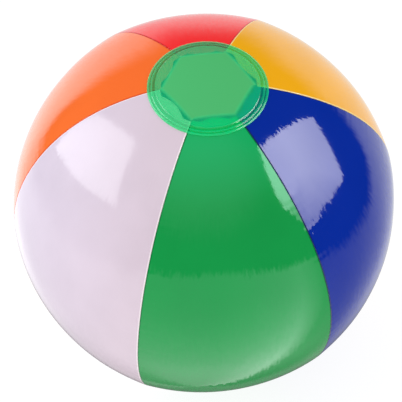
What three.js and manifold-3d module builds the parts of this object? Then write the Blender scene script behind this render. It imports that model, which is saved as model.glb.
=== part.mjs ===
// Inflatable beach ball: six film gores welded edge to edge, a round cap lapped over each pole,
// and a push-in inflation valve with a tethered stopper.
//
// Millimetres. The origin is the ball's centre and +Z is the polar axis that the gores share.
// Azimuths start at -Y and run towards +X. Colatitudes are measured from +Z.

import * as THREE from "three";
import { mergeVertices } from "three/addons/utils/BufferGeometryUtils.js";
import Module from "manifold-3d";

const { degToRad, lerp } = THREE.MathUtils;

// ---- Ball ----
const BALL_RADIUS = 130; // outside of the gores when inflated
const FILM = 0.3; // film thickness
const GAP = 0.3; // clearance left where two pieces meet
const FIN_DEPTH = 3.3; // how far a seam's welded edges stand inwards

// ---- Polar caps ----
const CAP_ANGLE = degToRad(16.9); // half the angle that a cap spans
const HOLE_APOTHEM = 0.67 * CAP_ANGLE; // gores end in straight cuts this far from the pole
const FOOT_RADIUS = 11; // the lower cap rests on a contact patch of this radius

// ---- Seams ----
// Azimuth of each seam at and below the equator, and how far it has drifted at the upper pole.
const SEAMS = [
  { azimuth: -19, drift: -1 },
  { azimuth: 39, drift: -2 },
  { azimuth: 98.5, drift: -8 },
  { azimuth: 158, drift: 1 },
  { azimuth: 218, drift: -1 },
  { azimuth: 280, drift: -4 },
];
// The gore that lies between each seam and the next.
const GORES = [
  { name: "panel_green", colour: 0x1f9849 },
  { name: "panel_blue", colour: 0x0f2e98 },
  { name: "panel_yellow", colour: 0xf5b02c },
  { name: "panel_red", colour: 0xe03030 },
  { name: "panel_orange", colour: 0xfd7332 },
  { name: "panel_white", colour: 0xe7dfec },
];

// ---- Valve ----
// Depths along the valve's axis are measured from the film's outer surface, outwards positive.
const VALVE_GORE = "panel_red";
const VALVE_AZIMUTH = degToRad(188);
const VALVE_LATITUDE = degToRad(24);
const VALVE_HOLE_RADIUS = 10.6; // hole in the film
const PUNCH_LENGTH = 8; // of the tool that cuts it, enough to pass through the film

const FLANGE = { inner: 10, outer: 15.5, depth: 1.1, thickness: 0.5 };

const NECK_WALL = 0.5;
const NECK = { rimRadius: 9.7, rimDepth: -1.7, floorRadius: 8.6, floorDepth: -12, bend: 1.6 };

const STEM = {
  radius: 4.8,
  bore: 3,
  top: -3,
  bottom: -13.5,
  lipRadius: 5.3,
  lipHeight: 1.2,
  lead: 0.4, // chamfer at the mouth of the bore
};

const STOPPER = {
  headRadius: 5.6,
  headThickness: 1.8,
  plugRadius: 2.7,
  plugTipRadius: 1.4,
  plugLength: 4,
  tabReach: 7.2,
  tabWidth: 4,
  tabThickness: 1,
  tabRoot: 1, // how far the tab runs into the head
  edge: 0.4, // chamfer round the head
};

const STRAP = { width: 3, thickness: 0.7, bow: 9, rootDepth: -6 };

const FLAP = { radius: 4.2, thickness: 0.5, tabReach: 5.2, tabWidth: 3 };

// ---- Surfaces ----
const FILM_ROUGHNESS = 0.25;
const CAP_ROUGHNESS = 0.3;
const VALVE_ROUGHNESS = 0.35;

// ---- Fineness of the facets ----
const GORE_COLUMNS = 8;
const GORE_ROWS = 22;
const CAP_SECTORS = 48;
const CAP_RINGS = 4;
const VALVE_SECTORS = 36;
const STRAP_STEPS = 10;
const TAB_SEGMENTS = 6;
const FLAP_SEGMENTS = 24;

const wasm = await Module();
wasm.setup();

// ---- Solids ----

function solidFrom(geometry) {
  const bare = new THREE.BufferGeometry();
  bare.setAttribute("position", geometry.getAttribute("position").clone());
  bare.setIndex(geometry.getIndex());
  const merged = mergeVertices(bare, 1e-4);
  return new wasm.Manifold(
    new wasm.Mesh({
      numProp: 3,
      vertProperties: new Float32Array(merged.getAttribute("position").array),
      triVerts: new Uint32Array(merged.getIndex().array),
    }),
  );
}

function geometryFrom(solid) {
  const mesh = solid.getMesh();
  const geometry = new THREE.BufferGeometry();
  geometry.setAttribute("position", new THREE.BufferAttribute(mesh.vertProperties, mesh.numProp));
  geometry.setIndex(new THREE.BufferAttribute(mesh.triVerts, 1));
  geometry.computeVertexNormals();
  return geometry;
}

function subtract(geometry, tool) {
  return geometryFrom(solidFrom(geometry).subtract(solidFrom(tool)));
}

function join(geometry, other) {
  return geometryFrom(solidFrom(geometry).add(solidFrom(other)));
}

// A solid of revolution about +Z from [radius, height] pairs, listed with the material on their left.
function turned(profile, sectors) {
  const points = profile.map(([radius, height]) => new THREE.Vector2(radius, height));
  return new THREE.LatheGeometry(points, sectors).rotateX(Math.PI / 2);
}

// The same, for a profile that closes on itself instead of ending on the axis.
function turnedRing(profile, sectors) {
  return turned([...profile, profile[0]], sectors);
}

// A closed sheet between two equal grids of points, grid[row][column], with its four edges walled.
function thickSheet(outside, inside) {
  const rows = outside.length;
  const columns = outside[0].length;
  const points = [...outside.flat(), ...inside.flat()];
  const outer = (row, column) => row * columns + column;
  const inner = (row, column) => rows * columns + outer(row, column);
  const index = [];
  const quad = (a, b, c, d) => index.push(a, b, c, a, c, d);
  for (let row = 0; row + 1 < rows; row++) {
    for (let column = 0; column + 1 < columns; column++) {
      quad(
        outer(row, column),
        outer(row + 1, column),
        outer(row + 1, column + 1),
        outer(row, column + 1),
      );
      quad(
        inner(row, column),
        inner(row, column + 1),
        inner(row + 1, column + 1),
        inner(row + 1, column),
      );
    }
  }
  const lastRow = rows - 1;
  const lastColumn = columns - 1;
  for (let column = 0; column < lastColumn; column++) {
    quad(outer(0, column), outer(0, column + 1), inner(0, column + 1), inner(0, column));
    quad(
      outer(lastRow, column + 1),
      outer(lastRow, column),
      inner(lastRow, column),
      inner(lastRow, column + 1),
    );
  }
  for (let row = 0; row < lastRow; row++) {
    quad(outer(row + 1, 0), outer(row, 0), inner(row, 0), inner(row + 1, 0));
    quad(
      outer(row, lastColumn),
      outer(row + 1, lastColumn),
      inner(row + 1, lastColumn),
      inner(row, lastColumn),
    );
  }
  const geometry = new THREE.BufferGeometry().setFromPoints(points);
  geometry.setIndex(index);
  geometry.computeVertexNormals();
  return geometry;
}

function part(name, geometry, colour, roughness = FILM_ROUGHNESS) {
  const material = new THREE.MeshStandardMaterial({ color: colour, roughness, metalness: 0 });
  const mesh = new THREE.Mesh(geometry, material);
  mesh.name = name;
  return mesh;
}

// ---- Gores ----

function onBall(radius, azimuth, colatitude) {
  const reach = radius * Math.sin(colatitude);
  return new THREE.Vector3(
    reach * Math.sin(azimuth),
    -reach * Math.cos(azimuth),
    radius * Math.cos(colatitude),
  );
}

function seamAzimuth({ azimuth, drift }, colatitude) {
  const height = Math.max(0, Math.cos(colatitude));
  return degToRad(azimuth + drift * height * height);
}

// One row of a gore's film: the fin on one seam, the arc across the gore, the fin on the next seam.
// The row is a share of the way from the straight cut at the upper pole to that at the lower one.
function goreRow(seam, nextSeam, turn, share, radius, inset) {
  const span = seamAzimuth(nextSeam, 0) + turn - seamAzimuth(seam, 0);
  const finRadius = BALL_RADIUS - FIN_DEPTH;
  const pointAt = (across, reach) => {
    const fromMiddle = (across - 0.5) * span;
    const cut = Math.atan(Math.tan(HOLE_APOTHEM) / Math.cos(fromMiddle));
    const colatitude = lerp(cut, Math.PI - cut, share);
    const edge = inset / (BALL_RADIUS * Math.sin(colatitude));
    const from = seamAzimuth(seam, colatitude) + edge;
    const to = seamAzimuth(nextSeam, colatitude) + turn - edge;
    return onBall(reach, lerp(from, to, across), colatitude);
  };
  const row = [pointAt(0, finRadius)];
  for (let column = 0; column <= GORE_COLUMNS; column++) {
    row.push(pointAt(column / GORE_COLUMNS, radius));
  }
  row.push(pointAt(1, finRadius));
  return row;
}

// The film of one gore, from its cut end at the upper pole to that at the lower one.
function goreFilm(seam, nextSeam, turn) {
  const outside = [];
  const inside = [];
  for (let row = 0; row <= GORE_ROWS; row++) {
    const share = row / GORE_ROWS;
    outside.push(goreRow(seam, nextSeam, turn, share, BALL_RADIUS, GAP / 2));
    inside.push(goreRow(seam, nextSeam, turn, share, BALL_RADIUS - FILM, GAP / 2 + FILM));
  }
  return thickSheet(outside, inside);
}

// ---- Polar caps ----

// A shallow dish of film over the +Z pole. A foot radius above 0 flattens its middle.
function capFilm(footRadius) {
  const arc = (radius) => {
    const start = Math.asin(footRadius / radius);
    const points = footRadius > 0 ? [[0, radius * Math.cos(start)]] : [];
    for (let ring = 0; ring <= CAP_RINGS; ring++) {
      const angle = lerp(start, CAP_ANGLE, ring / CAP_RINGS);
      points.push([radius * Math.sin(angle), radius * Math.cos(angle)]);
    }
    return points;
  };
  const inside = arc(BALL_RADIUS + GAP);
  const outside = arc(BALL_RADIUS + GAP + FILM);
  return turned([...inside, ...outside.reverse()], CAP_SECTORS);
}

// ---- Valve, in a frame with +Z along its axis outwards, +Y up the gore and the film at 0 ----

function valveFrame() {
  const outward = onBall(1, VALVE_AZIMUTH, Math.PI / 2 - VALVE_LATITUDE);
  const up = new THREE.Vector3(0, 0, 1).addScaledVector(outward, -outward.z).normalize();
  const side = new THREE.Vector3().crossVectors(up, outward);
  const frame = new THREE.Matrix4().makeBasis(side, up, outward);
  return frame.setPosition(outward.multiplyScalar(BALL_RADIUS));
}

// The hole that is punched through the film for the valve.
function valvePunch() {
  const radius = VALVE_HOLE_RADIUS;
  const punch = new THREE.CylinderGeometry(radius, radius, PUNCH_LENGTH, VALVE_SECTORS);
  return punch.rotateX(Math.PI / 2).applyMatrix4(valveFrame());
}

// A ring that is welded to the film's inner face and curves with it.
function flangeRing() {
  const { inner, outer, depth, thickness } = FLANGE;
  const at = (radius, below) => {
    const shell = BALL_RADIUS - below;
    return [radius, Math.sqrt(shell * shell - radius * radius) - BALL_RADIUS];
  };
  const middle = (inner + outer) / 2;
  const under = [inner, middle, outer].map((radius) => at(radius, depth + thickness));
  const over = [outer, middle, inner].map((radius) => at(radius, depth));
  return turnedRing([...under, ...over], VALVE_SECTORS);
}

// A thin well that joins the flange to the stem and rolls inside out when the stem is pulled.
function neckWell() {
  const { rimRadius, rimDepth, floorRadius, floorDepth, bend } = NECK;
  const hub = STEM.radius + GAP;
  return turnedRing(
    [
      [hub, floorDepth],
      [floorRadius - bend, floorDepth],
      [floorRadius, floorDepth + bend],
      [rimRadius, rimDepth],
      [rimRadius - NECK_WALL, rimDepth],
      [floorRadius - NECK_WALL, floorDepth + bend + NECK_WALL / 2],
      [floorRadius - bend - NECK_WALL / 2, floorDepth + NECK_WALL],
      [hub, floorDepth + NECK_WALL],
    ],
    VALVE_SECTORS,
  );
}

function stemTube() {
  const { radius, bore, top, bottom, lipRadius, lipHeight, lead } = STEM;
  return turnedRing(
    [
      [bore, bottom],
      [radius, bottom],
      [radius, top - lipHeight],
      [lipRadius, top - lipHeight + lead],
      [lipRadius, top - lead],
      [lipRadius - lead, top],
      [bore + lead, top],
      [bore, top - lead],
    ],
    VALVE_SECTORS,
  );
}

function stopperBody() {
  const { headRadius, headThickness, plugRadius, plugTipRadius, plugLength } = STOPPER;
  const { tabReach, tabWidth, tabThickness, tabRoot, edge } = STOPPER;
  const under = STEM.top + GAP;
  const body = turned(
    [
      [0, under - plugLength],
      [plugTipRadius, under - plugLength],
      [plugRadius, under],
      [headRadius, under],
      [headRadius, under + headThickness - edge],
      [headRadius - edge, under + headThickness],
      [0, under + headThickness],
    ],
    VALVE_SECTORS,
  );
  const outline = new THREE.Shape();
  const corner = tabWidth / 2;
  outline.moveTo(corner, tabRoot - headRadius);
  outline.lineTo(-corner, tabRoot - headRadius);
  outline.lineTo(-corner, corner - tabReach);
  outline.absarc(0, corner - tabReach, corner, Math.PI, 2 * Math.PI, false);
  const options = { depth: tabThickness, bevelEnabled: false, curveSegments: TAB_SEGMENTS };
  const tab = new THREE.ExtrudeGeometry(outline, options);
  const tabUnder = under + (headThickness - tabThickness) / 2;
  return join(body, tab.translate(0, 0, tabUnder));
}

// The strap bows out from the stem's side and comes back to the edge of the stopper's head.
function strapBand() {
  const { width, thickness, bow, rootDepth } = STRAP;
  const headMiddle = STEM.top + GAP + STOPPER.headThickness / 2;
  const rootGap = STEM.radius + GAP;
  const headGap = STOPPER.headRadius + GAP;
  // The curve is drawn with the valve's Y across and its Z up.
  const curve = new THREE.CubicBezierCurve(
    new THREE.Vector2(rootGap, rootDepth),
    new THREE.Vector2(bow, rootDepth),
    new THREE.Vector2(bow, headMiddle),
    new THREE.Vector2(headGap, headMiddle),
  );
  const side = (offset) =>
    Array.from({ length: STRAP_STEPS + 1 }, (_, step) => {
      const tangent = curve.getTangent(step / STRAP_STEPS);
      const across = new THREE.Vector2(tangent.y, -tangent.x);
      return curve.getPoint(step / STRAP_STEPS).addScaledVector(across, offset);
    });
  const outline = new THREE.Shape([...side(thickness / 2), ...side(-thickness / 2).reverse()]);
  const band = new THREE.ExtrudeGeometry(outline, { depth: width, bevelEnabled: false });
  // X across, Y up, Z along the width becomes Y across, Z up, X along the width.
  return band.translate(0, 0, -width / 2).rotateX(Math.PI / 2).rotateZ(Math.PI / 2);
}

// A disc that lies against the stem's inner end, with a tab on the side where it bends.
function checkFlap() {
  const { radius, thickness, tabReach, tabWidth } = FLAP;
  const half = tabWidth / 2;
  const meet = Math.asin(half / radius);
  const outline = new THREE.Shape();
  outline.moveTo(half, tabReach);
  outline.lineTo(-half, tabReach);
  outline.absarc(0, 0, radius, Math.PI / 2 + meet, Math.PI / 2 - meet + 2 * Math.PI, false);
  const options = { depth: thickness, bevelEnabled: false, curveSegments: FLAP_SEGMENTS };
  const flap = new THREE.ExtrudeGeometry(outline, options);
  return flap.translate(0, 0, STEM.bottom - GAP - thickness);
}

// ---- Assembly ----

const ball = new THREE.Group();

GORES.forEach(({ name, colour }, number) => {
  const last = number === SEAMS.length - 1;
  const nextSeam = SEAMS[(number + 1) % SEAMS.length];
  const film = goreFilm(SEAMS[number], nextSeam, last ? 2 * Math.PI : 0);
  const punched = name === VALVE_GORE ? subtract(film, valvePunch()) : film;
  ball.add(part(name, punched, colour));
});

const CAP_COLOUR = 0x4fbb70;
ball.add(part("top_cap", capFilm(0), CAP_COLOUR, CAP_ROUGHNESS));
const bottomCap = part("bottom_cap", capFilm(FOOT_RADIUS), CAP_COLOUR, CAP_ROUGHNESS);
bottomCap.rotation.x = Math.PI;
ball.add(bottomCap);

const VALVE_COLOUR = 0xe9edf0;
const valve = new THREE.Group();
valve.applyMatrix4(valveFrame());
valve.add(part("valve_flange", flangeRing(), VALVE_COLOUR, VALVE_ROUGHNESS));
valve.add(part("valve_neck", neckWell(), VALVE_COLOUR, VALVE_ROUGHNESS));
valve.add(part("valve_stem", stemTube(), VALVE_COLOUR, VALVE_ROUGHNESS));
valve.add(part("stopper", stopperBody(), VALVE_COLOUR, VALVE_ROUGHNESS));
valve.add(part("stopper_strap", strapBand(), VALVE_COLOUR, VALVE_ROUGHNESS));
valve.add(part("check_flap", checkFlap(), VALVE_COLOUR, VALVE_ROUGHNESS));
ball.add(valve);

export default ball;
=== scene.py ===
"""Looks of an inflatable beach ball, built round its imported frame.

Metres, in the part's frame: the origin is the ball's centre and +Z the polar axis that the gores
share. Azimuths start at -Y and run towards +X. Colatitudes are measured from +Z. Sizes given in
millimetres are marked by MM.
"""

import math

import bmesh
import bpy
import numpy as np
from mathutils import Matrix, Vector


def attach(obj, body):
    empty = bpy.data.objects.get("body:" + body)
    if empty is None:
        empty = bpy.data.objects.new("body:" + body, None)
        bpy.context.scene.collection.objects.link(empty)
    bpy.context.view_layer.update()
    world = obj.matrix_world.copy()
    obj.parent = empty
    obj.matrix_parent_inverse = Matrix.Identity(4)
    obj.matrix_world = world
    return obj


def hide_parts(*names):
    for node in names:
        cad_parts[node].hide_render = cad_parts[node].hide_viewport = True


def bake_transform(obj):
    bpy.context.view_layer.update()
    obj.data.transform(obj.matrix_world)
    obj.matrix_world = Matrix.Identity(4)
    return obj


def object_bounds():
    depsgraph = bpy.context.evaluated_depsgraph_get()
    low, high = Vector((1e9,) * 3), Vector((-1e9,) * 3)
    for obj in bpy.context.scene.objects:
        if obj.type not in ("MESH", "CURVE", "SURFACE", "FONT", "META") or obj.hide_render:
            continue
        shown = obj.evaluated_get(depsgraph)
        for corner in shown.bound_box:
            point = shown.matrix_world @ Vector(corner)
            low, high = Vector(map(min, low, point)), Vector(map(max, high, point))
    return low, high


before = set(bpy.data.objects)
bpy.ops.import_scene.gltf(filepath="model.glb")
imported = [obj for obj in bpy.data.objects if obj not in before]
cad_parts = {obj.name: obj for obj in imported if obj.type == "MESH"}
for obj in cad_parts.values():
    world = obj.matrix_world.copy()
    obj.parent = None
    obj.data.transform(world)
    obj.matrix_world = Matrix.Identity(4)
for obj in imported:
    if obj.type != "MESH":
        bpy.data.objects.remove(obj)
cad_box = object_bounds()

MM = 0.001


# ---- Driving dimensions ----


def reach_of(node):
    """How far a CAD node's farthest vertex is from the ball's centre."""
    return max(v.co.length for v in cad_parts[node].data.vertices)


BALL_R = reach_of("panel_green")
CAP_R = reach_of("top_cap")
FLOOR_Z = cad_box[0].z
FILM = 0.3 * MM

CAP_ANGLE = math.radians(16.9)  # half the angle that a cap spans
HOLE_APOTHEM = 0.67 * CAP_ANGLE  # gores end in straight cuts this far from the pole

# Each seam's azimuth at and below the equator, and how far it has drifted at the upper pole.
SEAMS = [(-19, -1), (39, -2), (98.5, -8), (158, 1), (218, -1), (280, -4)]

# The gore between each seam and the next: its name, the colour of its film and the colour of the
# film in the weld. On yellow and white the weld is paler, partly film stretched paler by the heat
# and partly a painted highlight on the seam's rounded edge; on the others it is darker, as painted
# shade in the seam's groove.
GORES = [
    ("green", (0.0095, 0.325, 0.067), (0.006, 0.2, 0.05)),
    ("blue", (0.003, 0.0255, 0.33), (0.002, 0.012, 0.15)),
    ("yellow", (0.93, 0.43, 0.0105), (1.0, 0.75, 0.3)),
    ("red", (0.99, 0.036, 0.038), (0.75, 0.018, 0.022)),
    ("orange", (0.99, 0.165, 0.03), (0.8, 0.1, 0.02)),
    ("white", (0.735, 0.59, 0.66), (0.98, 0.86, 0.88)),
]

CAP_COLOUR = (0.001, 0.99, 0.38)
# Painted glow: the cap's colour over the hole, lighter and warmer, standing in for light that comes
# up through it from inside the ball.
CAP_PAINTED_GLOW_COLOUR = (0.088, 0.56, 0.18)  # where light comes up through it from inside the ball
VINYL_COLOUR = (0.8, 0.84, 0.87)

LOBE = 0.0045  # how far a seam stands above the mean ball, as a share of its radius
LOBE_SET_IN = math.radians(28)  # run from a cap's rim over which the lobes reach their full height
EDGE_ROUND = 0.45 * MM  # radius over which a gore's film turns down into its seam
SEAM_GAP = 0.03 * MM
FIN_DEPTH = 3.3 * MM

rng = np.random.default_rng(17)


# ---- Shape of the ball ----


def smooth(x):
    x = np.clip(x, 0, 1)
    return x * x * (3 - 2 * x)


def direction(azimuth, colatitude):
    """Unit vectors, one for each pair of angles in radians."""
    flat = np.sin(colatitude)
    return np.stack(
        [flat * np.sin(azimuth), -flat * np.cos(azimuth), np.cos(colatitude)], -1
    )


def seam_azimuth(number, colatitude):
    azimuth, drift = SEAMS[number % len(SEAMS)]
    height = np.maximum(0, np.cos(colatitude))
    turn = 360 * (number // len(SEAMS))
    return np.radians(azimuth + turn + drift * height * height)


def straight_cut(from_middle):
    """Colatitude at which a gore ends, by azimuth from its middle."""
    return np.arctan(np.tan(HOLE_APOTHEM) / np.cos(from_middle))


WAVE_COUNT = 9
SHORTEST_WAVE, LONGEST_WAVE = 26, 75  # in millimetres
WAVE_HEIGHT = 0.022 * MM
WAVES = rng.normal(size=(WAVE_COUNT, 3))
wave_lengths = rng.uniform(SHORTEST_WAVE, LONGEST_WAVE, WAVE_COUNT) * MM
WAVES *= (2 * math.pi * BALL_R / wave_lengths / np.linalg.norm(WAVES, axis=1))[:, None]
WAVE_PHASES = rng.uniform(0, 2 * math.pi, WAVE_COUNT)


def unevenness(directions):
    """The broad, shallow unevenness of a blown-up film."""
    return WAVE_HEIGHT * np.sin(directions @ WAVES.T + WAVE_PHASES).sum(-1)


PUCKER_PITCHES = np.array([4.6, 6.1, 8.3]) * MM
PUCKER_PHASES = rng.uniform(0, 2 * math.pi, (len(SEAMS), 3))
PUCKER_HEIGHT = 0.02 * MM
PUCKER_REACH = 7 * MM
PUCKER_FROM, PUCKER_TO = 0.35, 0.65  # distances from the axis, in radii, where they set in


def puckers(seam, colatitude, distance):
    """Fine gathers that run out from a seam, where its weld has shrunk."""
    run = BALL_R * colatitude
    waves = np.sin(
        2 * math.pi * run[..., None] / PUCKER_PITCHES + PUCKER_PHASES[seam % len(SEAMS)]
    )
    away_from_caps = smooth((np.sin(colatitude) - PUCKER_FROM) / (PUCKER_TO - PUCKER_FROM))
    return PUCKER_HEIGHT * waves.sum(-1) * np.exp(-distance / PUCKER_REACH) * away_from_caps


def film_radius(number, azimuth, colatitude):
    """The outer surface of gore `number` of the ball, without its edges' rounding."""
    start = seam_azimuth(number, colatitude)
    end = seam_azimuth(number + 1, colatitude)
    across = 2 * (azimuth - start) / (end - start) - 1
    polar = np.minimum(colatitude, math.pi - colatitude)
    lobe = LOBE * smooth((polar - CAP_ANGLE) / LOBE_SET_IN)
    around = BALL_R * np.sin(colatitude)
    return (
        BALL_R * (1 + lobe * (2 * across * across - 1))
        + unevenness(direction(azimuth, colatitude))
        + puckers(number, colatitude, around * (azimuth - start))
        + puckers(number + 1, colatitude, around * (end - azimuth))
    )


# ---- Meshes ----


def piece(name, points, faces, material, body=None, stands_for=(), sharp=40):
    """A mesh object that rides on a body and stands for CAD nodes. sharp: from how many degrees."""
    mesh = bpy.data.meshes.new(name)
    mesh.from_pydata([tuple(p) for p in points], [], [tuple(f) for f in faces])
    clean = bmesh.new()
    clean.from_mesh(mesh)
    bmesh.ops.recalc_face_normals(clean, faces=clean.faces)
    clean.to_mesh(mesh)
    clean.free()
    mesh.shade_smooth()
    mesh.set_sharp_from_angle(angle=math.radians(sharp))
    mesh.materials.append(material)
    made = bpy.data.objects.new(name, mesh)
    bpy.context.scene.collection.objects.link(made)
    if body:
        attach(made, body)
    if stands_for:
        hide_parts(*stands_for)
    return made


def grid_faces(index, skip=None):
    """Quads between the neighbouring entries of a grid of vertex numbers."""
    quads = np.stack([index[:-1, :-1], index[:-1, 1:], index[1:, 1:], index[1:, :-1]], -1)
    if skip is not None:
        quads = quads[~skip]
    return quads.reshape(-1, 4)


def loop_faces(a, b):
    """Quads between two closed loops of vertex numbers."""
    return np.stack([a, np.roll(a, -1), np.roll(b, -1), b], -1)


def border(index):
    """The outline of a grid of vertex numbers as one closed loop."""
    return np.concatenate(
        [index[0, :-1], index[:-1, -1], index[-1, :0:-1], index[:0:-1, 0]]
    )


def loft(rings, closed=False):
    """Points and faces of a skin over rings of as many points each. A ring of one is a tip."""
    starts = np.cumsum([0] + [len(ring) for ring in rings])
    faces = []
    pairs = list(zip(range(len(rings) - 1), range(1, len(rings))))
    if closed:
        pairs.append((len(rings) - 1, 0))
    for one, other in pairs:
        count = max(len(rings[one]), len(rings[other]))
        a = starts[one] + np.arange(count) % len(rings[one])
        b = starts[other] + np.arange(count) % len(rings[other])
        faces += [list(dict.fromkeys(face)) for face in loop_faces(a, b).tolist()]
    return np.concatenate(rings), faces


def turned(profile, sectors):
    """Rings of points for a profile of (radius, height) pairs turned about Z."""
    angle = 2 * math.pi * np.arange(sectors)[:, None] / sectors
    circle = np.hstack([np.sin(angle), -np.cos(angle), 0 * angle])
    return [
        circle * radius + (0, 0, height) if radius > 0 else np.array([[0, 0, height]])
        for radius, height in profile
    ]


def point_values(made, name, values):
    """Keeps a number at each of a piece's vertices, for its material."""
    kept = made.data.attributes.new(name, "FLOAT", "POINT")
    kept.data.foreach_set("value", np.asarray(values, np.float32))


def moved(points, matrix):
    return points @ np.array(matrix.to_3x3()).T + np.array(matrix.translation)


# ---- Materials ----


COLOUR_A, COLOUR_B, COLOUR_RESULT = 6, 7, 2  # a Mix node's sockets for colours
CLOUD_FROM, CLOUD_TO = 0.3, 0.7  # nearly all of a noise's values lie between these


class Nodes:
    """A few words for wiring shader nodes."""

    def __init__(self, owner):
        owner.use_nodes = True
        self.tree = owner.node_tree
        self.tree.nodes.clear()

    def feed(self, socket, value):
        if isinstance(value, bpy.types.NodeSocket):
            self.tree.links.new(value, socket)
        elif isinstance(value, tuple) and len(value) == 3 and len(socket.default_value) == 4:
            socket.default_value = (*value, 1)
        else:
            socket.default_value = value

    def add(self, kind, inputs=None, **settings):
        node = self.tree.nodes.new(kind)
        for key, value in settings.items():
            setattr(node, key, value)
        for key, value in (inputs or {}).items():
            self.feed(node.inputs[key], value)
        return node

    def math(self, operation, *values):
        node = self.add("ShaderNodeMath", operation=operation)
        for socket, value in zip(node.inputs, values):
            self.feed(socket, value)
        return node.outputs[0]

    def vector(self, operation, *values, output="Vector"):
        node = self.add("ShaderNodeVectorMath", dict(enumerate(values)), operation=operation)
        return node.outputs[output]

    def scaled(self, vector, scale):
        inputs = {"Vector": vector, "Scale": scale}
        return self.add("ShaderNodeVectorMath", inputs, operation="SCALE").outputs["Vector"]

    def parts(self, vector):
        return self.add("ShaderNodeSeparateXYZ", {0: vector}).outputs

    def joined(self, x, y, z):
        return self.add("ShaderNodeCombineXYZ", {0: x, 1: y, 2: z}).outputs[0]

    def spread(self, value, low, high, to_low=0.0, to_high=1.0):
        """A smooth step between two values as another value goes from low to high."""
        inputs = {"Value": value, "From Min": low, "From Max": high}
        inputs.update({"To Min": to_low, "To Max": to_high})
        node = self.add("ShaderNodeMapRange", inputs, interpolation_type="SMOOTHSTEP")
        return node.outputs["Result"]

    def mix(self, share, a, b):
        node = self.add("ShaderNodeMix", data_type="RGBA")
        self.feed(node.inputs["Factor"], share)
        self.feed(node.inputs[COLOUR_A], a)
        self.feed(node.inputs[COLOUR_B], b)
        return node.outputs[COLOUR_RESULT]

    def noise(self, vector, scale, detail=2.0, roughness=0.5):
        inputs = {"Vector": vector, "Scale": scale, "Detail": detail, "Roughness": roughness}
        return self.add("ShaderNodeTexNoise", inputs).outputs["Fac"]

    def mottled(self, place, scale, detail, colour, darker, lighter=1.0):
        """A colour that drifts between a little darker and a little lighter, as a cloud does."""
        dark, light = (tuple(min(1.0, share * c) for c in colour) for share in (darker, lighter))
        cloud = self.spread(self.noise(place, scale, detail), CLOUD_FROM, CLOUD_TO)
        return self.mix(cloud, dark, light)

    def attribute(self, name):
        return self.add("ShaderNodeAttribute", attribute_name=name).outputs["Fac"]

    def bump(self, height, distance):
        inputs = {"Strength": 1.0, "Distance": distance, "Height": height}
        return self.add("ShaderNodeBump", inputs).outputs["Normal"]

    def blended(self, share, a, b):
        return self.add("ShaderNodeMixShader", {0: share, 1: a, 2: b}).outputs[0]

    def surface(self, shader):
        self.add("ShaderNodeOutputMaterial", {"Surface": shader})


def new_material(name):
    """A material, its nodes and the piece's own coordinates."""
    material = bpy.data.materials.new(name)
    n = Nodes(material)
    return material, n, n.add("ShaderNodeTexCoord").outputs["Object"]


VINYL_IOR = 1.53

GRAIN_PITCH = 1.9 * MM  # of the streaks, across them
GRAIN_LENGTH = 7 * MM
GRAIN_DETAIL = 1.5
GRAIN_SLOPE = 0.09  # between the streaks that tip most to the north and to the south


def film_grain(n, place):
    """A normal that tips north and south from streak to streak, as calendered film's does."""
    x, y, z = n.parts(place)
    level = n.vector("NORMALIZE", n.joined(x, y, 0.0))
    around = n.scaled(level, BALL_R / GRAIN_PITCH)
    from_pole = n.math("ARCCOSINE", n.math("DIVIDE", z, BALL_R))
    along = n.joined(0.0, 0.0, n.math("MULTIPLY", from_pole, BALL_R / GRAIN_LENGTH))
    streaks = n.noise(n.vector("ADD", around, along), 1.0, GRAIN_DETAIL)
    slope = n.math("MULTIPLY_ADD", streaks, GRAIN_SLOPE, -GRAIN_SLOPE / 2)
    east = n.vector("CROSS_PRODUCT", (0, 0, 1), place)
    north = n.vector("CROSS_PRODUCT", place, east)
    north = n.add(
        "ShaderNodeVectorTransform", {0: north}, convert_from="OBJECT", convert_to="WORLD"
    ).outputs[0]
    tip = n.scaled(n.vector("NORMALIZE", north), slope)
    facing = n.add("ShaderNodeNewGeometry").outputs["Normal"]
    return n.vector("NORMALIZE", n.vector("ADD", facing, tip))


# Film painted paler towards both poles, by height over the equator: painted light, standing in for
# the stronger light that falls on the gore's upper part.
POLAR_PAINTED_LIGHT_COLOURS = {"film_green": (0.0095, 0.44, 0.13)}
POLAR_FROM, POLAR_TO = 0.78 * BALL_R, 1.0 * BALL_R

GLOSS_TINTS = {"film_green": (0.6, 1.0, 0.82)}
WHITE = (1.0, 1.0, 1.0)

MOTTLE = 0.03  # how much darker or lighter a film gets than its mean colour
MOTTLE_SCALE = 22
GLOSS_CHANGE = 0.15  # how much rougher or smoother
GLOSS_SCALE = 60
GLOSS_FROM, GLOSS_TO = 0.25, 0.75
WELD_TO, FILM_FROM = 0.5 * MM, 1.0 * MM  # distances from the seam between which the weld ends


def film_material(name, colour, weld_colour_and_painted_light, roughness):
    """Glossy calendered vinyl film: faintly mottled, with its gloss a little uneven."""
    material, n, place = new_material(name)
    seam = n.attribute("seam_distance")
    mottled = n.mottled(place, MOTTLE_SCALE, 3, colour, 1 - MOTTLE, 1 + MOTTLE)
    # Painted light: the colour turns paler towards the poles, by height over the equator.
    height = n.math("ABSOLUTE", n.parts(place)["Z"])
    polar = n.spread(height, POLAR_FROM, POLAR_TO)
    mottled = n.mix(polar, mottled, POLAR_PAINTED_LIGHT_COLOURS.get(name, colour))
    # Along the seam the colour turns to the weld's: paler with a painted highlight on yellow and
    # white, darker with painted shade on the other gores.
    in_weld = n.spread(seam, WELD_TO, FILM_FROM, 1.0, 0.0)
    gloss = n.noise(place, GLOSS_SCALE)
    smoothest, roughest = roughness * (1 - GLOSS_CHANGE), roughness * (1 + GLOSS_CHANGE)
    shader = n.add(
        "ShaderNodeBsdfPrincipled",
        {
            "Base Color": n.mix(in_weld, mottled, weld_colour_and_painted_light),
            "Roughness": n.spread(gloss, GLOSS_FROM, GLOSS_TO, smoothest, roughest),
            "Normal": film_grain(n, place),
            "IOR": VINYL_IOR,
            "Specular Tint": GLOSS_TINTS.get(name, WHITE),
        },
    )
    n.surface(shader.outputs[0])
    return material
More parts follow.
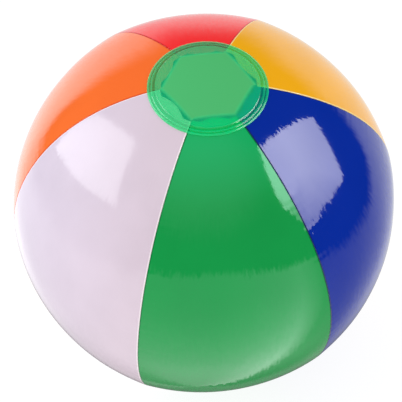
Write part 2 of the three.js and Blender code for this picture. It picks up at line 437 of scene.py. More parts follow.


# The cap over the hole and over the gores: where the straight cuts of the gores show through it, as
# distances inwards of them, and how much of it is clear rather than hazy. Inwards of the cuts, over
# the hole, its colour is a painted glow.
HOLE_FROM, HOLE_TO = -1.9 * MM, 2.6 * MM
CLEAR_LOOSE, CLEAR_PRESSED = 0.6, 0.84
CLEAR_OVER_HOLE = 0.15  # as a share of those
CLEAR_TINT_LOOSE, CLEAR_TINT_PRESSED = (0.55, 1.0, 0.62), (0.32, 0.96, 0.57)
CAP_ROUGH_LOOSE, CAP_ROUGH_PRESSED = 0.17, 0.15
CAP_MOTTLE_SCALE = 35
CAP_GRAIN_SCALE = 900
CAP_GRAIN_HEIGHT = 0.004 * MM


def cap_material():
    """Tinted translucent vinyl: clearer where it is pressed down onto the gores, hazy elsewhere."""
    material, n, place = new_material("cap_vinyl")
    pressed = n.attribute("pressed")
    hole = n.spread(n.attribute("inside_cuts"), HOLE_FROM, HOLE_TO)
    shade = n.mottled(place, CAP_MOTTLE_SCALE, 2, CAP_COLOUR, 1 - MOTTLE)
    # Over the hole the colour turns to a painted glow, standing in for light that comes up through
    # the cap from inside the ball.
    shade = n.mix(hole, shade, CAP_PAINTED_GLOW_COLOUR)
    bump = n.bump(n.noise(place, CAP_GRAIN_SCALE, 1), CAP_GRAIN_HEIGHT)
    hazy = n.add("ShaderNodeBsdfDiffuse", {"Color": shade, "Normal": bump}).outputs[0]
    tint = n.mix(pressed, CLEAR_TINT_LOOSE, CLEAR_TINT_PRESSED)
    clear = n.add("ShaderNodeBsdfTransparent", {"Color": tint}).outputs[0]
    over_gores = n.spread(pressed, 0.0, 1.0, CLEAR_LOOSE, CLEAR_PRESSED)
    openness = n.math("MULTIPLY", over_gores, n.spread(hole, 0.0, 1.0, 1.0, CLEAR_OVER_HOLE))
    body = n.blended(openness, hazy, clear)

    roughness = n.spread(pressed, 0.0, 1.0, CAP_ROUGH_LOOSE, CAP_ROUGH_PRESSED)
    gloss = n.add("ShaderNodeBsdfGlossy", {"Roughness": roughness, "Normal": bump}).outputs[0]
    share = n.add("ShaderNodeFresnel", {"IOR": VINYL_IOR, "Normal": bump}).outputs[0]
    behind = n.add("ShaderNodeNewGeometry").outputs["Backfacing"]
    share = n.math("MULTIPLY", share, n.math("SUBTRACT", 1.0, behind))
    face = n.blended(share, body, gloss)
    # All of the tint is in the outer face, so that light meets it once on its way through.
    nothing = n.add("ShaderNodeBsdfTransparent").outputs[0]
    n.surface(n.blended(n.attribute("inner_face"), face, nothing))
    return material


VINYL_MOTTLE_SCALE = 160
VINYL_DARKEST = 0.93
VINYL_GLOSS_SCALE = 300
VINYL_SMOOTHEST, VINYL_ROUGHEST = 0.25, 0.36
VINYL_GRAIN_SCALE = 1500
VINYL_GRAIN_HEIGHT = 0.01 * MM
MILKINESS = 0.4
MILK_DEPTH = 0.8 * MM


def vinyl_material():
    """Milky soft vinyl of the valve's moulding."""
    material, n, place = new_material("valve_vinyl")
    gloss = n.noise(place, VINYL_GLOSS_SCALE, 1)
    shader = n.add(
        "ShaderNodeBsdfPrincipled",
        {
            "Base Color": n.mottled(place, VINYL_MOTTLE_SCALE, 2, VINYL_COLOUR, VINYL_DARKEST),
            "Roughness": n.spread(gloss, CLOUD_FROM, CLOUD_TO, VINYL_SMOOTHEST, VINYL_ROUGHEST),
            "Normal": n.bump(n.noise(place, VINYL_GRAIN_SCALE, 1), VINYL_GRAIN_HEIGHT),
            "IOR": VINYL_IOR,
            "Subsurface Weight": MILKINESS,
            "Subsurface Radius": (1.0, 1.0, 1.0),
            "Subsurface Scale": MILK_DEPTH,
        },
    )
    n.surface(shader.outputs[0])
    return material


# ---- Valve's frame: Z along its axis outwards, Y up the gore, the film's outside at 0 ----

VALVE_GORE = 3
VALVE_AZIMUTH = math.radians(188)
VALVE_COLATITUDE = math.radians(90 - 24)
VALVE_HOLE = 10.6 * MM

outward = Vector(direction(VALVE_AZIMUTH, VALVE_COLATITUDE))
upward = (Vector((0, 0, 1)) - outward * outward.z).normalized()
sideways = upward.cross(outward)
valve_turn = Matrix((sideways, upward, outward)).transposed().to_4x4()
VALVE = Matrix.Translation(outward * BALL_R) @ valve_turn


# ---- Gores ----

ROWS = 340
EDGE_ARC = np.radians([0, 18, 36, 54, 72, 90])
EDGE_STEPS = np.array([0.35, 0.95, 1.9, 3.2, 5.0]) * MM  # from the rounding into the gore

# One edge of a gore in section: distance from the seam, depth below the surface, and the outer
# face's normal as its parts towards the seam and outwards.
edge_distance = np.concatenate(
    [[0], EDGE_ROUND * (1 - np.cos(EDGE_ARC)), EDGE_ROUND + EDGE_STEPS]
)
edge_depth = np.concatenate(
    [[FIN_DEPTH], EDGE_ROUND * (1 - np.sin(EDGE_ARC)), 0 * EDGE_STEPS]
)
edge_seamward = np.concatenate([[1], np.cos(EDGE_ARC), 0 * EDGE_STEPS])
edge_outward = np.concatenate([[0], np.sin(EDGE_ARC), 0 * EDGE_STEPS + 1])


def gore_sheets(number, middle_columns):
    """Grids of outer and inner points of a gore, and how far each is from the nearer seam."""
    edge = np.zeros(len(edge_distance))
    middle = np.linspace(0, 1, middle_columns + 1)[1:-1]
    share = np.concatenate([edge, middle, edge + 1])[None, :]
    offset = np.concatenate([edge_distance, middle * 0 + edge_distance[-1], edge_distance[::-1]])
    span = float(seam_azimuth(number + 1, 0.0) - seam_azimuth(number, 0.0))
    cut = straight_cut((share - 0.5) * span)
    down = np.linspace(0, 1, ROWS + 1)[:, None]
    colatitude = cut + (math.pi - 2 * cut) * down
    around = BALL_R * np.sin(colatitude)
    start = seam_azimuth(number, colatitude)
    end = seam_azimuth(number + 1, colatitude)
    width = around * (end - start) - 2 * SEAM_GAP
    across = width * share + offset * (1 - 2 * share)
    flat = np.zeros(len(middle))
    depth = np.concatenate([edge_depth, flat, edge_depth[::-1]])
    sideward = np.concatenate([-edge_seamward, flat, edge_seamward[::-1]])
    upright = np.concatenate([edge_outward, flat + 1, edge_outward[::-1]])

    def sheet(below):
        place = across - below * sideward
        azimuth = start + (SEAM_GAP + place) / around
        radius = film_radius(number, azimuth, colatitude) - depth - below * upright
        return radius[..., None] * direction(azimuth, colatitude)

    from_seam = np.minimum(across, width - across)
    return sheet(0), sheet(FILM), from_seam


def surface_at(x, y, below=0.0):
    """Points of the valve's gore at x, y in the valve's frame."""
    across = x[..., None] * np.array(sideways) + y[..., None] * np.array(upward)
    rise = np.sqrt(BALL_R**2 - x * x - y * y)
    unit = (across + rise[..., None] * np.array(outward)) / BALL_R
    azimuth = np.arctan2(unit[..., 0], -unit[..., 1]) % (2 * math.pi)
    colatitude = np.arccos(unit[..., 2])
    return unit * (film_radius(VALVE_GORE, azimuth, colatitude) - below)[..., None]


WELD_RINGS = (12.1 * MM, 14.4 * MM)  # pressed into the film over the valve's flange
WELD_RING_WIDTH = 0.32 * MM
WELD_RING_DEPTH = 0.16 * MM
PATCH_RADII = MM * np.concatenate(
    [[10.6, 10.66, 10.8, 11.05], np.arange(11.4, 15.6, 0.2), [16.2, 17]]
)
HOLE_LIP, HOLE_LIP_WIDTH = 0.08 * MM, 0.1 * MM  # where the film is rounded into its hole
WINDOW = 20 * MM  # half the side of what the rings replace
FAR_FROM_SEAM = 20 * MM
COLUMNS, VALVE_COLUMNS = 24, 64  # of cells across a gore, without its edges
FILM_ROUGHNESS, WHITE_ROUGHNESS = 0.06, 0.1


def weld_groove(radius):
    return sum(
        WELD_RING_DEPTH * np.exp(-(((radius - ring) / WELD_RING_WIDTH) ** 2)) for ring in WELD_RINGS
    )


def valve_patch(points, loops):
    """Fills the window in each sheet with rings that close in on the valve's hole."""
    faces, hole_edges = [], []
    for layer, loop in enumerate(loops):
        here = points[loop]
        x = here @ np.array(sideways)
        y = here @ np.array(upward)
        angle = np.arctan2(y, x)
        previous = loop
        for radius in PATCH_RADII[::-1]:
            lip = HOLE_LIP * math.exp(-(radius - VALVE_HOLE) / HOLE_LIP_WIDTH)
            below = weld_groove(radius) + (FILM - lip if layer else lip)
            ring = surface_at(radius * np.cos(angle), radius * np.sin(angle), below)
            numbers = len(points) + np.arange(len(loop))
            points = np.concatenate([points, ring])
            faces.append(loop_faces(previous, numbers))
            previous = numbers
        hole_edges.append(previous)
    faces.append(loop_faces(*hole_edges))
    return points, faces


def make_gore(number):
    name, colour, weld_colour_and_painted_light = GORES[number]
    has_valve = number == VALVE_GORE
    outside, inside, from_seam = gore_sheets(
        number, VALVE_COLUMNS if has_valve else COLUMNS
    )
    rows, columns = outside.shape[:2]
    outer = np.arange(rows * columns).reshape(rows, columns)
    inner = outer + rows * columns
    points = np.concatenate([outside.reshape(-1, 3), inside.reshape(-1, 3)])
    faces = [loop_faces(border(outer), border(inner))]
    skip = None
    if has_valve:
        # A window of whole cells round the valve.
        local = np.stack([outside @ np.array(sideways), outside @ np.array(upward)], -1)
        in_front = outside @ np.array(outward) > 0
        near = (np.abs(local) < WINDOW).all(-1) & in_front
        kept_rows = np.flatnonzero(near.any(1))
        kept_columns = np.flatnonzero(near.any(0))
        r0, r1, c0, c1 = kept_rows[0], kept_rows[-1], kept_columns[0], kept_columns[-1]
        skip = np.zeros((rows - 1, columns - 1), bool)
        skip[r0:r1, c0:c1] = True
        window = (slice(r0, r1 + 1), slice(c0, c1 + 1))
        points, patch = valve_patch(points, [border(outer[window]), border(inner[window])])
        faces += patch
    faces += [grid_faces(outer, skip), grid_faces(inner, skip)[:, ::-1]]
    roughness = WHITE_ROUGHNESS if name == "white" else FILM_ROUGHNESS
    material = film_material(f"film_{name}", colour, weld_colour_and_painted_light, roughness)
    panel = f"panel_{name}"
    made = piece(
        f"{panel}_film",
        points,
        np.concatenate(faces),
        material,
        "ball",
        [panel],
        sharp=50,
    )
    distance = np.full(len(points), FAR_FROM_SEAM)
    distance[: 2 * rows * columns] = np.tile(from_seam.reshape(-1), 2)
    point_values(made, "seam_distance", distance)

    return made


for number in range(len(GORES)):
    make_gore(number)


# ---- Polar caps ----

CAP_FILM = 0.42 * MM
CAP_SECTORS = 180
# Round beads and the pressed-down bands between them, as (share of the cap's radius, half width,
# height). The cap is welded to the gores in the bands.
CAP_BEADS = [
    (0.973, 0.44 * MM, 0.24 * MM),
    (0.923, 0.46 * MM, 0.28 * MM),
    (0.85, 0.5 * MM, 0.2 * MM),
]
CAP_BANDS = [(0.948, 0.35 * MM, -0.14 * MM), (0.886, 0.75 * MM, -0.12 * MM)]
CAP_STEPS = np.concatenate([np.linspace(0, 0.82, 24), np.linspace(0.825, 1, 72)])
PRESSED_WIDENING = 1.25  # how much wider than a band the cap touches the gores


def make_cap(name, turn, foot):
    """A shallow dish of film with its ring welds. foot: how low it may reach."""
    rim = CAP_R * CAP_ANGLE
    outer, inner, pressed = [], [], []

    def swell(run, share, half_width):
        return math.exp(-(((run - share * rim) / half_width) ** 2))

    for share in CAP_STEPS:
        run = share * rim
        bead = sum(height * swell(run, at, wide) for at, wide, height in CAP_BEADS)
        band = sum(height * swell(run, at, wide) for at, wide, height in CAP_BANDS)
        from_edge = min(1.0, 2 * (rim - run) / CAP_FILM)
        rounding = 0.5 * CAP_FILM * (1 - math.sqrt(1 - (1 - from_edge) ** 2))
        angle = run / CAP_R
        for side, radius in (
            (outer, CAP_R + bead + band - rounding),
            (inner, CAP_R - CAP_FILM + 0.3 * band + rounding),
        ):
            height = min(radius * math.cos(angle), foot - (CAP_FILM if side is inner else 0))
            side.append((radius * math.sin(angle), height))
        touch = sum(swell(run, at, PRESSED_WIDENING * wide) for at, wide, _ in CAP_BANDS)
        pressed.append(min(1.0, touch))
    points, faces = loft(turned(inner + outer[::-1], CAP_SECTORS), closed=True)
    points = moved(points, turn)
    made = piece(f"{name}_film", points, faces, cap_vinyl, "ball", [name], sharp=60)
    by_radius = ([radius for radius, _ in outer], pressed)
    from_axis = np.hypot(points[:, 0], points[:, 1])
    azimuth = np.arctan2(points[:, 0], -points[:, 1])
    colatitude = np.arctan2(from_axis, np.abs(points[:, 2]))
    cut = np.full(len(points), math.pi)
    for number in range(len(GORES)):
        start, end = seam_azimuth(number, 0.0), seam_azimuth(number + 1, 0.0)
        off = (azimuth - (start + end) / 2 + math.pi) % (2 * math.pi) - math.pi
        within = np.abs(off) <= (end - start) / 2 + 1e-6
        cut[within] = straight_cut(off[within])
    point_values(made, "pressed", np.interp(from_axis, *by_radius))
    point_values(made, "inside_cuts", BALL_R * (cut - colatitude))
    point_values(made, "inner_face", np.linalg.norm(points, axis=1) < CAP_R - 0.8 * CAP_FILM)
    return made


cap_vinyl = cap_material()
make_cap("top_cap", Matrix.Identity(4), 1.0)
make_cap("bottom_cap", Matrix.Rotation(math.pi, 4, "X"), -FLOOR_Z)


# ---- Valve, drawn in millimetres in its own frame ----

VALVE_SECTORS = 144
VALVE_ANGLES = 2 * math.pi * np.arange(VALVE_SECTORS) / VALVE_SECTORS
BORE_R, STEM_R, COLLAR_R, HEAD_R = 3.0, 4.8, 5.2, 5.6
FLANGE_HOLE_R, FLANGE_R = 10.0, 15.5
FLANGE_GAP = 0.02 * MM  # under the film
NECK_TOP, NECK_FOOT = np.array((9.55, -1.6)), np.array((8.6, -10.4))
NECK_BEND_R = 1.6  # of the wall's turn inwards at its foot
NECK_FLARE, NECK_FLARE_RUN = 0.45, 0.05
RIBS, RIB_HEIGHT = 5.5, 0.09


def valve_piece(name, rings, closed, node, body=None):
    points, faces = loft(rings, closed)
    points = moved(points * MM, VALVE)
    return piece(name, points, faces, milky_vinyl, body, [node], sharp=50)


def rounded(profile, radius, steps=4):
    """A closed profile with its corners rounded off."""
    corners = np.array(profile, float)
    before, after = np.roll(corners, 1, 0), np.roll(corners, -1, 0)
    share = np.linspace(0, 1, steps)[:, None]
    out = []
    for previous, corner, following in zip(before, corners, after):
        ends = []
        for other in (previous, following):
            length = np.linalg.norm(other - corner)
            ends.append(corner + (other - corner) * min(radius / length, 0.45))
        out.append(
            ends[0] * (1 - share) ** 2 + corner * 2 * share * (1 - share) + ends[1] * share**2
        )
    return [tuple(point) for point in np.concatenate(out)]


def outlined(rows):
    """Rings from (height, distance of the outline by angle from -Y) pairs."""
    rings = []
    for height, outline in rows:
        if outline is None:
            rings.append(np.array([[0, 0, height]]))
            continue
        reach = outline(VALVE_ANGLES)
        x, y = reach * np.sin(VALVE_ANGLES), -reach * np.cos(VALVE_ANGLES)
        rings.append(np.stack([x, y, height + 0 * x], 1))
    return rings


def circle(radius):
    """An outline at one distance all round."""
    return lambda angle: radius + 0 * angle


milky_vinyl = vinyl_material()


def make_flange():
    """A ring under the film, which its two weld rings press down into it."""
    top = FILM + FLANGE_GAP
    across = np.linspace(FLANGE_R, FLANGE_HOLE_R, 40) * MM
    section = [(radius, top + float(weld_groove(radius))) for radius in across]
    section += [(FLANGE_HOLE_R * MM, top + 0.85 * MM), (10.9 * MM, top + 0.55 * MM)]
    section += [(15.3 * MM, top + 0.5 * MM)]
    sines, cosines = np.sin(VALVE_ANGLES), np.cos(VALVE_ANGLES)
    rings = [
        surface_at(radius * sines, -radius * cosines, below)
        for radius, below in rounded(section, 0.12 * MM)
    ]
    points, faces = loft(rings, closed=True)
    node = "valve_flange"
    return piece("valve_flange_ring", points, faces, milky_vinyl, "ball", [node])


def make_neck():
    """A thin bellows of a well, softly ribbed."""
    down = np.linspace(0, 1, 60)
    flare = NECK_FLARE * np.exp(-down / NECK_FLARE_RUN)
    rib = RIB_HEIGHT * np.cos(2 * math.pi * RIBS * down)
    rib *= smooth(down / 0.15) * smooth((1 - down) / 0.2)
    wall = NECK_TOP + (NECK_FOOT - NECK_TOP) * down[:, None]
    wall[:, 0] += flare + rib
    bend = np.radians(np.linspace(8, 90, 9))
    centre = NECK_FOOT - (NECK_BEND_R, 0)
    turn_in = centre + NECK_BEND_R * np.stack([np.cos(bend), -np.sin(bend)], 1)
    middle = np.concatenate([wall, turn_in, [[6.2, -12.05], [5.6, -12.0], [4.95, -11.9]]])
    along = np.gradient(middle, axis=0)
    normal = np.stack([-along[:, 1], along[:, 0]], 1)
    normal /= np.linalg.norm(normal, axis=1)[:, None]
    half = (0.25 + 0.12 * np.exp(-((middle[:, 0] - 4.95) / 0.35) ** 2))[:, None]
    outline = np.concatenate([middle + normal * half, (middle - normal * half)[::-1]])
    made = valve_piece(
        "valve_neck_bellows", turned(rounded(outline, 0.15, 3), VALVE_SECTORS), True, "valve_neck"
    )
    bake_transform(made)
    return made


def make_stem():
    """A tube with a seat for the flap, a collar for the strap, a lip and a step in its bore."""
    profile = [
        (BORE_R, -13.5), (3.25, -13.66), (3.6, -13.66), (3.85, -13.5), (STEM_R, -13.5),
        (STEM_R, -7.1), (COLLAR_R, -6.8), (COLLAR_R, -5.2), (STEM_R, -4.9), (STEM_R, -4.2),
        (5.3, -3.9), (5.3, -3.25), (4.95, -3.0), (3.4, -3.0), (BORE_R, -3.4), (BORE_R, -7.2),
        (3.15, -7.5), (3.15, -8.3), (BORE_R, -8.6),
    ]  # fmt: skip
    return valve_piece(
        "valve_stem_tube",
        turned(rounded(profile, 0.18), VALVE_SECTORS),
        True,
        "valve_stem",
        "stem",
    )


def make_stopper():
    """Plug with a sealing bead, head with a sealing lip and a dished top, and a finger tab."""

    def with_tab(inset):
        def outline(angle):
            centre, corner = 5.2, 2.0 - inset  # of the tab's round end
            off = centre * np.sin(angle)
            arc = centre * np.cos(angle) + np.sqrt(np.maximum(0, corner * corner - off * off))
            on_tab = (np.abs(off) < corner) & (np.cos(angle) > 0)
            return np.maximum(HEAD_R, np.where(on_tab, arc, 0))

        return outline

    turned_rows = [
        (-6.65, 1.0), (-6.5, 1.28), (-6.2, 1.45), (-5.2, 1.85), (-4.3, 2.3), (-4.15, 2.52),
        (-4.0, 2.64), (-3.8, 2.68), (-3.6, 2.62), (-3.45, 2.45), (-3.1, 2.5), (-2.85, 2.6),
        (-2.75, 2.9), (-2.75, 4.5), (-2.88, 4.65), (-2.93, 4.9), (-2.85, 5.15), (-2.65, 5.4),
        (-2.45, 5.53), (-2.32, 5.58),
    ]  # fmt: skip
    tab_rows = [
        (-2.3, 0.35), (-2.24, 0.14), (-2.1, 0.02), (-1.9, 0.0), (-1.65, 0.0), (-1.45, 0.02),
        (-1.33, 0.14), (-1.27, 0.35),
    ]  # fmt: skip
    top_rows = [
        (-1.25, 5.58), (-1.1, 5.5), (-0.97, 5.3), (-0.9, 5.05), (-0.9, 4.75), (-0.98, 4.5),
        (-1.1, 4.25), (-1.16, 3.8), (-1.16, 1.3), (-1.12, 0.95), (-1.0, 0.7), (-0.95, 0.35),
    ]  # fmt: skip
    rows = [(-6.7, None)]
    rows += [(height, circle(radius)) for height, radius in turned_rows]
    rows += [(height, with_tab(inset)) for height, inset in tab_rows]
    rows += [(height, circle(radius)) for height, radius in top_rows]
    rows += [(-0.94, None)]
    return valve_piece("stopper_plug", outlined(rows), False, "stopper", "stopper")


def make_strap():
    """A ribbon, waisted in the middle, from the stem's collar round to the stopper's head."""
    share = np.linspace(0, 1, 33)[:, None]
    ends = np.array([(5.1, -6.0), (9.0, -6.0), (9.0, -1.8), (5.5, -1.8)])
    weights = np.hstack(
        [(1 - share) ** 3, 3 * share * (1 - share) ** 2, 3 * share**2 * (1 - share), share**3]
    )
    curve = weights @ ends
    along = np.gradient(curve, axis=0)
    along /= np.linalg.norm(along, axis=1)[:, None]
    waist = np.sin(math.pi * share[:, 0]) ** 2
    half_width = 1.5 * (1 - 0.28 * waist)
    half_thickness = 0.35 * (1 - 0.25 * waist)
    angle = 2 * math.pi * np.arange(24) / 24
    squareness = 0.45
    wide = np.sign(np.cos(angle)) * np.abs(np.cos(angle)) ** squareness
    thick = np.sign(np.sin(angle)) * np.abs(np.sin(angle)) ** squareness
    rings = [curve[0] @ [[0, 1, 0], [0, 0, 1]] + np.zeros((1, 3))]
    for (y, z), (dy, dz), width, thickness in zip(curve, along, half_width, half_thickness):
        rings.append(
            np.stack(
                [width * wide, y - dz * thickness * thick, z + dy * thickness * thick], 1
            )
        )
    rings.append(curve[-1] @ [[0, 1, 0], [0, 0, 1]] + np.zeros((1, 3)))
    made = valve_piece("stopper_strap_ribbon", rings, False, "stopper_strap")
    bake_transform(made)
    return made


def make_flap():
    """A disc with a boss that centres it in the bore, and a hinge tab."""

    def with_tab(inset):
        def outline(angle):
            towards = -np.cos(angle)
            end = (5.2 - inset) / np.maximum(towards, 1e-6)
            side = (1.5 - inset) / np.maximum(np.abs(np.sin(angle)), 1e-6)
            tab = np.where(towards > 0, np.minimum(end, side), 0)
            return np.maximum(4.2 - inset, tab)

        return outline

    rows = [(-14.3, None)]
    rows += [(-14.3, with_tab(0.25)), (-14.24, with_tab(0.08)), (-14.1, with_tab(0.0))]
    rows += [(-13.98, with_tab(0.0)), (-13.86, with_tab(0.06)), (-13.8, with_tab(0.2))]
    rows += [
        (height, circle(radius))
        for height, radius in [
            (-13.8, 3.9), (-13.74, 3.75), (-13.72, 3.5), (-13.74, 3.25), (-13.8, 3.1),
            (-13.8, 2.6), (-13.6, 2.45), (-13.46, 2.1), (-13.4, 1.2),
        ]
    ]  # fmt: skip
    rows += [(-13.38, None)]
    return valve_piece("check_flap_disc", outlined(rows), False, "check_flap", "flap")


make_flange()
make_neck()
make_stem()
make_stopper()
make_strap()
make_flap()


# ---- Camera ----

CAMERA_AZIMUTH = -1.5
CAMERA_ELEVATION = 55.0
CAMERA_ROLL = math.radians(1.88)
CAMERA_DISTANCE = 8 * BALL_R
CAMERA_LENS = 135.2
AIM_OFFSET = (-2.14 * MM, 1.31 * MM)  # from the ball's centre, to the right and up in view


def heading(azimuth, elevation):
    return Vector(direction(math.radians(azimuth), math.radians(90 - elevation)))


def make_camera():
    away = heading(CAMERA_AZIMUTH, CAMERA_ELEVATION)
    level = heading(CAMERA_AZIMUTH + 90, 0)
    above = away.cross(level)
    right = level * math.cos(CAMERA_ROLL) + above * math.sin(CAMERA_ROLL)
    up = above * math.cos(CAMERA_ROLL) - level * math.sin(CAMERA_ROLL)
    place = away * CAMERA_DISTANCE
    aim = right * AIM_OFFSET[0] + up * AIM_OFFSET[1]
    back = (place - aim).normalized()
    right = (right - back * right.dot(back)).normalized()
    up = back.cross(right)
    camera = bpy.data.objects.new("camera", bpy.data.cameras.new("camera"))
    camera.data.lens = CAMERA_LENS
    turn = Matrix((right, up, back)).transposed().to_4x4()
    camera.matrix_world = Matrix.Translation(place) @ turn
    bpy.context.scene.collection.objects.link(camera)
    bpy.context.scene.camera = camera


make_camera()


# ---- Studio ----


def studio_heading(azimuth, elevation):
    """A direction by its azimuth from the camera's."""
    return heading(CAMERA_AZIMUTH + azimuth, elevation)


def only_for_reflections(made):
    made.visible_camera = False
    made.visible_diffuse = False
    made.visible_shadow = False


SOFTBOX_DISTANCE = 40  # so far that a reflection's place depends on its direction alone


def softbox(name, middle, outline, colour):
    """A glowing panel that only reflections see, of (azimuth, elevation, brightness) points."""
    material = bpy.data.materials.new(name)
    n = Nodes(material)
    glow = n.add("ShaderNodeEmission", {"Color": colour, "Strength": n.attribute("brightness")})
    n.surface(glow.outputs[0])
    marks = [middle] + outline
    points = [SOFTBOX_DISTANCE * studio_heading(*mark[:2]) for mark in marks]
    count = len(outline)
    faces = [(0, 1 + corner, 1 + (corner + 1) % count) for corner in range(count)]
    made = piece(name, points, faces, material)
    point_values(made, "brightness", [brightness for _, _, brightness in marks])
    only_for_reflections(made)


SOFTBOX_RIGHT = [
    (93, 63, 7.5), (68, 55, 7.5), (57, 44, 7.2), (55, 36, 6.5), (56, 28, 2.6), (60, 19, 2.0),
    (70, 12, 3.0), (85, 11, 4.0), (95, 8.5, 4.0), (101, 6, 4.5), (107, 13.5, 5.0), (114, 19.5, 5.0),
    (122, 23, 5.0), (119, 34, 6.6), (111, 47, 8.5), (100, 58, 8.0),
]  # fmt: skip
SOFTBOX_LEFT = [(262, 50, 3.2), (295, 27, 3.4), (249, -1, 3.4), (241, 26, 3.2)]
softbox("softbox_right", (92, 32, 7.9), SOFTBOX_RIGHT, (0.97, 0.96, 1))
softbox("softbox_left", (262, 27, 3.6), SOFTBOX_LEFT, (0.95, 0.97, 1))

# The pale surroundings that stand round the ball, as (azimuth, elevation of their top edge, how
# soft that edge is to each side, brightness, how much brighter they grow downwards).
SURROUNDINGS = [
    (0, 12.5, 2.5, 0.9, 0.6),
    (11, 14, 2.5, 0.9, 0.6),
    (22, 11, 3, 1.05, 0.6),
    (35, 7, 3, 1.3, 0.6),
    (50, 2.5, 3, 1.6, 0.6),
    (62, -2, 4, 0.45, 0.3),
    (80, -12, 4, 0.4, 0),
    (92, -17, 5, 0.45, 0),
    (107, -21, 5, 0.65, 0),
    (118, -16, 6, 0.8, 0),
    (127, 0, 8, 0.95, 0),
    (140, 9, 10, 0.95, 0),
    (155, 11, 11, 0.95, 0),
    (170, -1, 15, 0.9, 0),
    (190, 0, 15, 0.85, 0),
    (200, 12, 11, 1.0, 0),
    (211, 9, 12, 1.3, 0),
    (222, 0, 10, 1.5, 0),
    (231, -20, 7, 1.3, 0),
    (250, -22, 6, 0.8, 0),
    (280, -12, 6, 0.6, 0),
    (310, 0, 5, 0.6, 0.3),
    (335, 9, 3, 0.8, 0.6),
    (360, 12.5, 2.5, 0.9, 0.6),
]
BRIGHTEST = 2  # that the list may hold
RISE_FROM, RISE_TO = 0, -50  # elevations between which they grow brighter
OVERHEAD = (0, 68)  # azimuth and elevation of a glow
OVERHEAD_REACH = 40
OVERHEAD_GLOW = (0.55, 0.6, 0.6)
AMBIENT = 0.95


def make_world():
    world = bpy.data.worlds.new("studio")
    bpy.context.scene.world = world
    world.cycles.sampling_method = "NONE"  # an even ambient needs no sampling
    n = Nodes(world)
    place = n.add("ShaderNodeTexCoord").outputs["Generated"]
    x, y, z = n.parts(place)
    azimuth = n.math("ARCTAN2", x, n.math("MULTIPLY", y, -1.0))
    azimuth = n.math("SUBTRACT", azimuth, math.radians(CAMERA_AZIMUTH))
    turn = n.math("FRACT", n.math("DIVIDE", azimuth, 2 * math.pi))
    elevation = n.math("ARCSINE", z)
    ramp = n.add("ShaderNodeValToRGB", {"Fac": turn})
    stops = ramp.color_ramp.elements
    for count, (degrees, edge, softness, brightness, rise) in enumerate(SURROUNDINGS):
        stop = stops[count] if count < 2 else stops.new(degrees / 360)
        stop.position = degrees / 360
        stop.color = (edge / 180 + 0.5, softness / 90, brightness / BRIGHTEST, rise)
    channels = n.add("ShaderNodeSeparateColor", {0: ramp.outputs["Color"]})
    edge, softness, brightness = channels.outputs
    edge = n.math("MULTIPLY_ADD", edge, math.pi, -math.pi / 2)
    softness = n.math("MULTIPLY", softness, math.pi / 2)
    above = n.math("DIVIDE", n.math("SUBTRACT", elevation, edge), softness)
    inside = n.spread(above, -1.0, 1.0, 1.0, 0.0)
    lower = n.spread(elevation, math.radians(RISE_TO), math.radians(RISE_FROM), 1.0, 0.0)
    rise = n.math("MULTIPLY", ramp.outputs["Alpha"], lower)
    growth = n.math("MULTIPLY_ADD", rise, BRIGHTEST, BRIGHTEST)
    around = n.math("MULTIPLY", inside, n.math("MULTIPLY", brightness, growth))
    centre = tuple(studio_heading(*OVERHEAD))
    toward = n.vector("DOT_PRODUCT", place, centre, output="Value")
    limit = math.cos(math.radians(OVERHEAD_REACH))
    overhead = n.mix(n.spread(toward, limit, 1.0), (0, 0, 0), OVERHEAD_GLOW)
    seen = n.vector("ADD", around, overhead)
    path = n.add("ShaderNodeLightPath")
    level = n.mix(path.outputs["Is Glossy Ray"], (AMBIENT, AMBIENT, AMBIENT), seen)
    shown = n.mix(path.outputs["Is Camera Ray"], level, (1, 1, 1))
    background = n.add("ShaderNodeBackground", {"Color": shown, "Strength": 1.0})
    n.add("ShaderNodeOutputWorld", {"Surface": background.outputs[0]})


make_world()


FLOOR_REACH = 4.0
FLOOR_GREY = 0.22
FLOOR_GLOW = 0.84  # lifts it to the backdrop's white


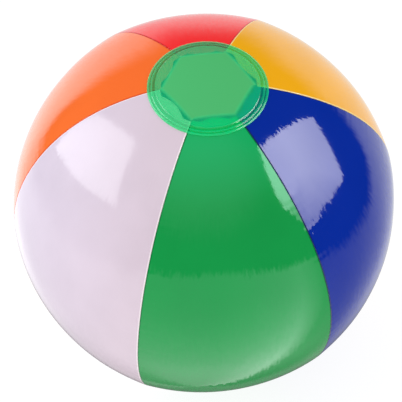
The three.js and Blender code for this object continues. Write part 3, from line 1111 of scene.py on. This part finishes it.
def make_floor():
    material = bpy.data.materials.new("floor")
    n = Nodes(material)
    paint = n.add("ShaderNodeBsdfDiffuse", {"Color": (FLOOR_GREY, FLOOR_GREY, FLOOR_GREY)})
    glow = n.add("ShaderNodeEmission", {"Color": WHITE, "Strength": FLOOR_GLOW})
    both = n.add("ShaderNodeAddShader", {0: paint.outputs[0], 1: glow.outputs[0]})
    n.surface(both.outputs[0])
    corners = [(-1, -1), (1, -1), (1, 1), (-1, 1)]
    points = [(x * FLOOR_REACH, y * FLOOR_REACH, FLOOR_Z) for x, y in corners]
    made = piece("floor", points, [range(4)], material)
    made.visible_glossy = False


make_floor()


SHADE_CORE = 100 * MM
SHADE_REACH = 205 * MM
SHADE_DEPTH = 0.78
SHADE_SIDES = 48
SHADE_ABOVE_FLOOR = 0.05 * MM


def make_contact_shade():
    """The dark patch that the ball keeps under itself, as its own film reflects it."""
    material = bpy.data.materials.new("contact_shade")
    n = Nodes(material)
    place = n.add("ShaderNodeTexCoord").outputs["Object"]
    from_axis = n.vector("LENGTH", place, output="Value")
    shade = n.spread(from_axis, SHADE_CORE, SHADE_REACH, SHADE_DEPTH, 0.0)
    dark = n.add("ShaderNodeEmission", {"Color": (0, 0, 0), "Strength": 0.0})
    clear = n.add("ShaderNodeBsdfTransparent")
    both = n.add("ShaderNodeMixShader", {0: shade, 1: clear.outputs[0], 2: dark.outputs[0]})
    n.surface(both.outputs[0])
    outline = turned([(SHADE_REACH, 0)], SHADE_SIDES)[0]
    made = piece("contact_shade", outline, [range(SHADE_SIDES)], material)
    made.location.z = FLOOR_Z + SHADE_ABOVE_FLOOR
    only_for_reflections(made)


make_contact_shade()


FILL_DISTANCE = 1.4
FILL_SIZE = 1.0


def fill_light(name, azimuth, elevation, power, colour):
    """A soft light that only lights, and doesn't show in reflections."""
    lamp = bpy.data.lights.new(name, "AREA")
    lamp.size = FILL_SIZE
    lamp.energy = power
    lamp.color = colour
    made = bpy.data.objects.new(name, lamp)
    toward = studio_heading(azimuth, elevation)
    made.location = toward * FILL_DISTANCE
    made.rotation_mode = "QUATERNION"
    made.rotation_quaternion = toward.to_track_quat("Z", "Y")
    made.visible_glossy = False
    bpy.context.scene.collection.objects.link(made)


fill_light("fill_left", 268, 12, 8.5, (0.45, 0.75, 1))
fill_light("fill_right", 95, 20, 1.2, (0.7, 0.85, 1))

bpy.context.scene.view_settings.view_transform = "Standard"
